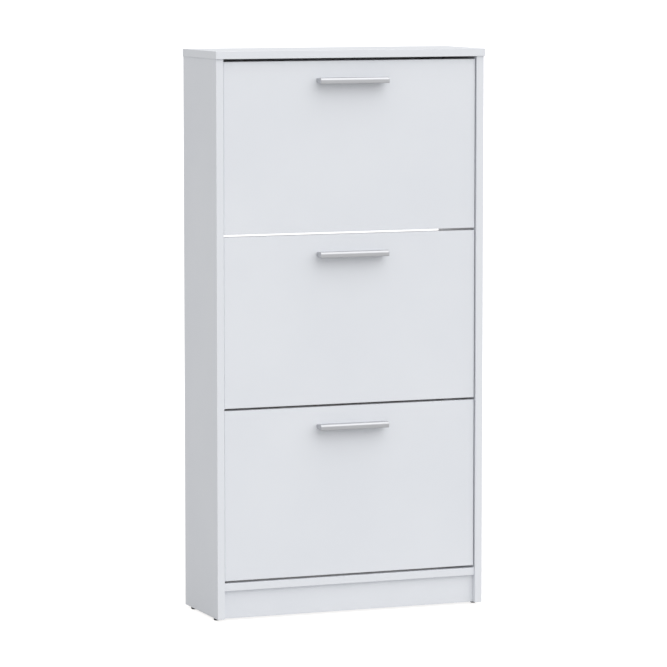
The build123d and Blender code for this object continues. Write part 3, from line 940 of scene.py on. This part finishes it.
@dataclass
class Glide:
    """A domed nail-on glide with a flat foot."""

    node: str
    foot_radius: float = 4.5 * MM
    skirt: float = 2.0 * MM
    lip: float = 0.4 * MM
    arc_steps: int = 8
    facets: int = 48

    def build(self, finishes: Finishes, panel_underside: float) -> None:
        """Makes the glide in its place.

        Args:
            finishes: The cabinet's finishes.
            panel_underside: The height of the side panels' lower edge.
        """
        low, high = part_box(self.node)
        bm = bmesh.new()
        Workbench.lathe(bm, self._outline((high.x - low.x) / 2, panel_underside), self.facets)
        bmesh.ops.translate(bm, vec=((low.x + high.x) / 2, (low.y + high.y) / 2, 0.0), verts=bm.verts)
        piece = Workbench.piece(f"nail_on_{self.node}", bm, finishes.black_plastic)
        stand_for(piece, "root", "black_plastic", self.node)

    def _outline(self, radius: float, top: float) -> list[tuple[float, float]]:
        """The outline that is spun into the glide.

        Args:
            radius: The glide's radius.
            top: The glide's height.

        Returns:
            Its corners as radius and height, from the foot's middle to the top's middle.
        """
        outline = [(0.0, 0.0), (self.foot_radius, 0.0)]
        for step in range(1, self.arc_steps + 1):
            angle = step / self.arc_steps * math.pi / 2
            reach = self.foot_radius + (radius - self.foot_radius) * math.sin(angle)
            outline.append((reach, (top - self.skirt) * (1 - math.cos(angle))))
        return outline + [(radius, top - self.lip), (radius - self.lip, top), (0.0, top)]


@dataclass
class TiltFlap:
    """One flap: its front, handle, brackets, screws and the two thin boards of its shoe pocket."""

    tier: Tier
    nodes: dict[str, Object]

    def build(self, finishes: Finishes) -> None:
        """Dresses the flap's nodes and makes its handle.

        Args:
            finishes: The cabinet's finishes.
        """
        self._dress_front(finishes)
        self._dress_pocket(finishes)
        for piece in ("bracket_left", "bracket_right"):
            dress_node(self.nodes, self.tier.node(piece), finishes.white_plastic)
        for piece in ("bracket_screws", "handle_screws"):
            dress_node(self.nodes, self.tier.node(piece), finishes.zinc)
        GripHandle(self.tier).build(finishes)

    def _dress_front(self, finishes: Finishes) -> None:
        """Gives the flap's front its melamine, banded all round."""
        node = self.tier.node("flap_panel")
        dress_node(self.nodes, node, finishes.melamine.material(node, BoardShape.of(node)))

    def _dress_pocket(self, finishes: Finishes) -> None:
        """Gives the pocket's boards their white face and brown back.

        Args:
            finishes: The cabinet's finishes.
        """
        low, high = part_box(self.tier.node("rear_board"))
        lean = math.atan2(high.y - low.y, high.z - low.z)
        sides = {
            "rear_board": Vector((0.0, -math.cos(lean), math.sin(lean))),
            "floor_board": Vector((0.0, 0.0, 1.0)),
        }
        for piece, white_side in sides.items():
            node = self.tier.node(piece)
            dress_node(self.nodes, node, finishes.fibreboard.material(node, white_side))


@dataclass
class Carcass:
    """The fixed boards with their fittings and glides."""

    nodes: dict[str, Object]
    raw_edges: dict[str, tuple[Facing, ...]] = field(
        default_factory=lambda: {
            "side_panel_left": (Facing.REAR, Facing.UNDER),
            "side_panel_right": (Facing.REAR, Facing.UNDER),
            "top_panel": (Facing.REAR,),
            "bottom_shelf": (Facing.REAR,),
            "plinth_board": (Facing.UNDER,),
            "rear_rail_top": (Facing.UNDER,),
            "rear_rail_lower": (Facing.UNDER, Facing.TOP),
        }
    )

    def build(self, finishes: Finishes) -> None:
        """Dresses the boards and fittings and makes the glides.

        Args:
            finishes: The cabinet's finishes.
        """
        for node, raw in self.raw_edges.items():
            dress_node(self.nodes, node, finishes.melamine.material(node, BoardShape.of(node), raw))
        fittings = {
            "cam_housings": finishes.zinc,
            "cam_bolts": finishes.zinc,
            "cam_caps": finishes.white_plastic,
            "dowels": finishes.beech,
            "pivot_screws": finishes.zinc,
            "stop_pins": finishes.zinc,
        }
        for node, material in fittings.items():
            dress_node(self.nodes, node, material)
        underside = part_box("side_panel_left")[0].z
        for node in self.nodes:
            if node.startswith("pivot_pin"):
                dress_node(self.nodes, node, finishes.white_plastic)
            if node.startswith("glide"):
                Glide(node).build(finishes, underside)


# ---------------------------------------------------------------------------------------------------------
# Studio
# ---------------------------------------------------------------------------------------------------------


@dataclass
class Studio:
    """A pale floor, soft lights and the camera."""

    floor_radius: float = 110.0
    floor_facets: int = 96
    floor_tone: Colour = (0.35, 0.35, 0.35)
    floor_roughness: float = 0.9
    floor_mottle: Grain = Grain(3.0, 2.0)
    floor_mottle_shade: float = 0.995
    floor_glow: float = 0.19
    floor_glow_seen: float = 0.65
    sky_level: float = 0.98
    sky_lean: float = 0.28
    sky_lean_azimuth: float = 3.0
    key_strength: float = 1.26
    key_softness: float = 80.0
    key_azimuth: float = 45.0
    key_elevation: float = 55.0
    camera_azimuth: float = -21.43
    camera_elevation: float = 5.957
    camera_distance: float = 8.020
    camera_aim: tuple[float, float, float] = (-0.0058, -0.0025, 0.5861)
    camera_lens: float = 204.28
    camera_sensor: float = 36.0
    camera_reach: float = 200.0

    def build(self) -> None:
        """Makes the floor, the lights and the camera."""
        self._floor()
        self._sky()
        self._key_light()
        self._camera()
        LOG.info("the floor, the lights and the camera are in place")

    @staticmethod
    def _direction(azimuth: float, elevation: float) -> Vector:
        """A direction by its angles in degrees: azimuth 0 is in front, and rises to the right."""
        turn, rise = math.radians(azimuth), math.radians(elevation)
        return Vector((math.sin(turn) * math.cos(rise), -math.cos(turn) * math.cos(rise), math.sin(rise)))

    def _place(self, azimuth: float, elevation: float, distance: float) -> Vector:
        """A point around the aim, by its angles in degrees and its distance."""
        return Vector(self.camera_aim) + self._direction(azimuth, elevation) * distance

    def _look(self, thing: Object, place: Vector) -> None:
        """Puts a light or camera at a place, turned to the aim.

        Args:
            thing: The light or camera.
            place: Its place.
        """
        thing.location = place
        thing.rotation_euler = (Vector(self.camera_aim) - place).to_track_quat("-Z", "Y").to_euler()
        bpy.context.scene.collection.objects.link(thing)

    def _floor(self) -> None:
        """The pale floor, which glows more to the camera than onto the cabinet."""
        bm = bmesh.new()
        bmesh.ops.create_circle(bm, cap_ends=True, radius=self.floor_radius, segments=self.floor_facets)
        sheet = ShaderSheet("studio_floor")
        shaded = tuple(channel * self.floor_mottle_shade for channel in self.floor_tone)
        colour = sheet.blend(sheet.noise(self.floor_mottle), shaded, self.floor_tone)
        seen = sheet.node("LightPath").outputs["Is Camera Ray"]
        glow = sheet.maths("MULTIPLY_ADD", seen, self.floor_glow_seen, self.floor_glow)
        sheet.plain(Base_Color=colour, Roughness=self.floor_roughness)
        sheet.plain(Emission_Color=WHITE, Emission_Strength=glow)
        Workbench.piece("studio_floor", bm, sheet.material)

    def _sky(self) -> None:
        """The soft sky: brighter at the front, and white to the camera."""
        world = bpy.data.worlds.new("studio_sky")
        bpy.context.scene.world = world
        world.use_nodes = True
        nodes, links = world.node_tree.nodes, world.node_tree.links
        nodes.clear()
        coordinates = nodes.new("ShaderNodeTexCoord")
        lean = nodes.new("ShaderNodeVectorMath")
        lean.operation = "DOT_PRODUCT"
        lean.inputs[1].default_value = self._direction(self.sky_lean_azimuth, 0.0)
        level = nodes.new("ShaderNodeMath")
        level.operation = "MULTIPLY_ADD"
        level.inputs[1].default_value = self.sky_lean
        level.inputs[2].default_value = self.sky_level
        glow = nodes.new("ShaderNodeBackground")
        white = nodes.new("ShaderNodeBackground")
        white.inputs["Color"].default_value = WHITE
        ray = nodes.new("ShaderNodeLightPath")
        mix = nodes.new("ShaderNodeMixShader")
        output = nodes.new("ShaderNodeOutputWorld")
        links.new(coordinates.outputs["Generated"], lean.inputs[0])
        links.new(lean.outputs["Value"], level.inputs[0])
        links.new(level.outputs[0], glow.inputs["Strength"])
        links.new(ray.outputs["Is Camera Ray"], mix.inputs[0])
        links.new(glow.outputs[0], mix.inputs[1])
        links.new(white.outputs[0], mix.inputs[2])
        links.new(mix.outputs[0], output.inputs[0])

    def _key_light(self) -> None:
        """The broad soft light from the right."""
        data = bpy.data.lights.new("key_light", "SUN")
        data.energy = self.key_strength
        data.angle = math.radians(self.key_softness)
        light = bpy.data.objects.new("key_light", data)
        self._look(light, self._place(self.key_azimuth, self.key_elevation, self.camera_distance))

    def _camera(self) -> None:
        """The camera, at the front left and a little above the cabinet's middle."""
        data = bpy.data.cameras.new("camera")
        data.sensor_width = self.camera_sensor
        data.lens = self.camera_lens
        data.clip_end = self.camera_reach
        camera = bpy.data.objects.new("camera", data)
        self._look(camera, self._place(self.camera_azimuth, self.camera_elevation, self.camera_distance))
        scene = bpy.context.scene
        scene.camera = camera
        scene.view_settings.view_transform = "Standard"
        scene.view_settings.look = "None"


def corners(bounds: Iterable[Iterable[float]]) -> list[list[float]]:
    """A box's corners as plain lists of numbers."""
    return [[float(number) for number in corner] for corner in bounds]


def main() -> None:
    """Builds the cabinet's looks around the frame."""
    logging.basicConfig(level=logging.INFO, format="%(name)s: %(message)s")
    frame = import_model()
    finishes = Finishes()
    Carcass(frame["nodes"]).build(finishes)
    for tier in Tier:
        TiltFlap(tier, frame["nodes"]).build(finishes)
    Studio().build()


if __name__ == "__main__":
    main()
